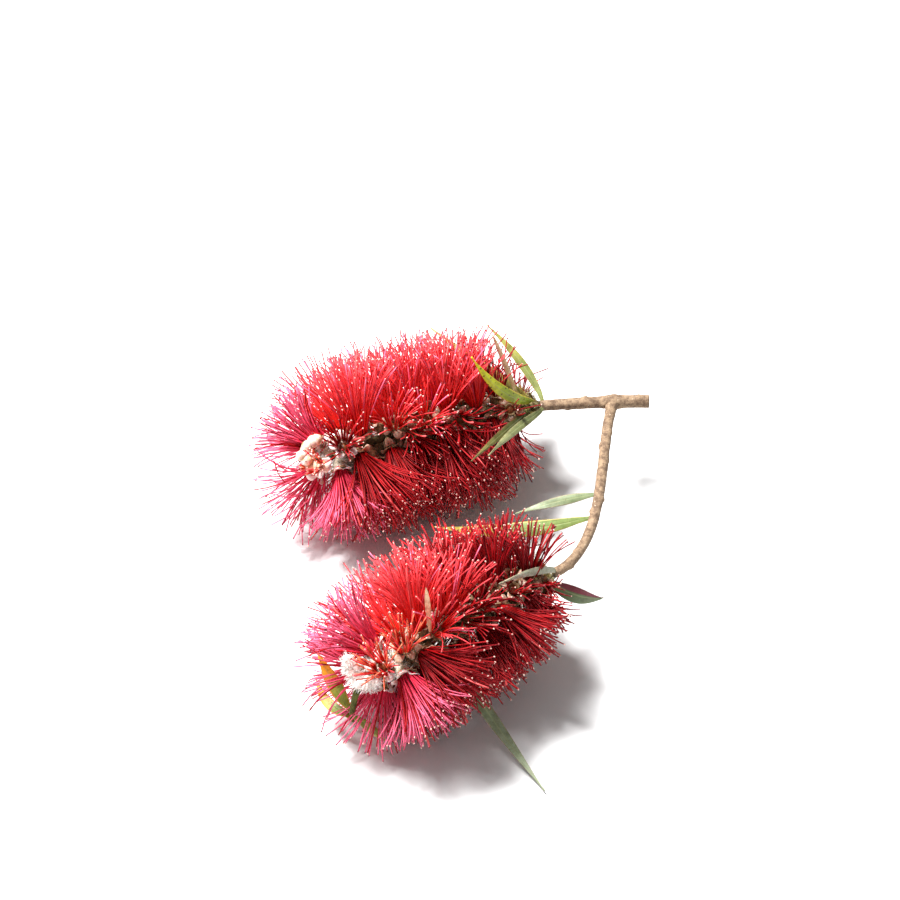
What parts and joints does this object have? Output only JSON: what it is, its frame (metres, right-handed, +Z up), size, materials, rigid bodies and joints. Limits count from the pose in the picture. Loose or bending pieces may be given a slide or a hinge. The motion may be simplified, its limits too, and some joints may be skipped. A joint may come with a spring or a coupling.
{
  "type": "bottlebrush flower sprig",
  "caption": "Cut bottlebrush sprig lying down, with crimson brush-like flower spikes and narrow leaves on a forked twig.",
  "frame": {"origin": "centre of the sprig's box in plan, on the level surface that it lies on", "axes": "+Z up from the surface; +Y from the lower flower spike towards the upper one; +X along the main twig towards its cut end"},
  "size_m": [0.1234, 0.1514, 0.0582],
  "materials": {
    "bark": "matt, finely ridged young bark",
    "stamens": "soft satin filaments",
    "anther": "powdery",
    "flower_cup": "short silky hairs",
    "petal": "thin and slightly glossy",
    "leaf_green": "leathery, slightly glossy",
    "leaf_young": "soft, slightly glossy"
  },
  "bodies": {
    "root": {"main_twig": "bark", "side_twig": "bark", "lower_stem": "bark", "tip_shoot": "bark", "upper_bloom": "stamens", "lower_bloom": "stamens", "upper_leaf_1": "leaf_young", "upper_leaf_2": "leaf_green", "upper_leaf_3": "leaf_green", "upper_leaf_4": "leaf_green", "upper_leaf_5": "leaf_green", "side_leaf_1": "leaf_green", "side_leaf_2": "leaf_green", "lower_leaf_1": "leaf_green", "lower_leaf_2": "leaf_green", "lower_leaf_3": "leaf_green", "tip_leaf_1": "leaf_young", "tip_leaf_2": "leaf_young", "tip_leaf_3": "leaf_young"}
  },
  "joints": []
}
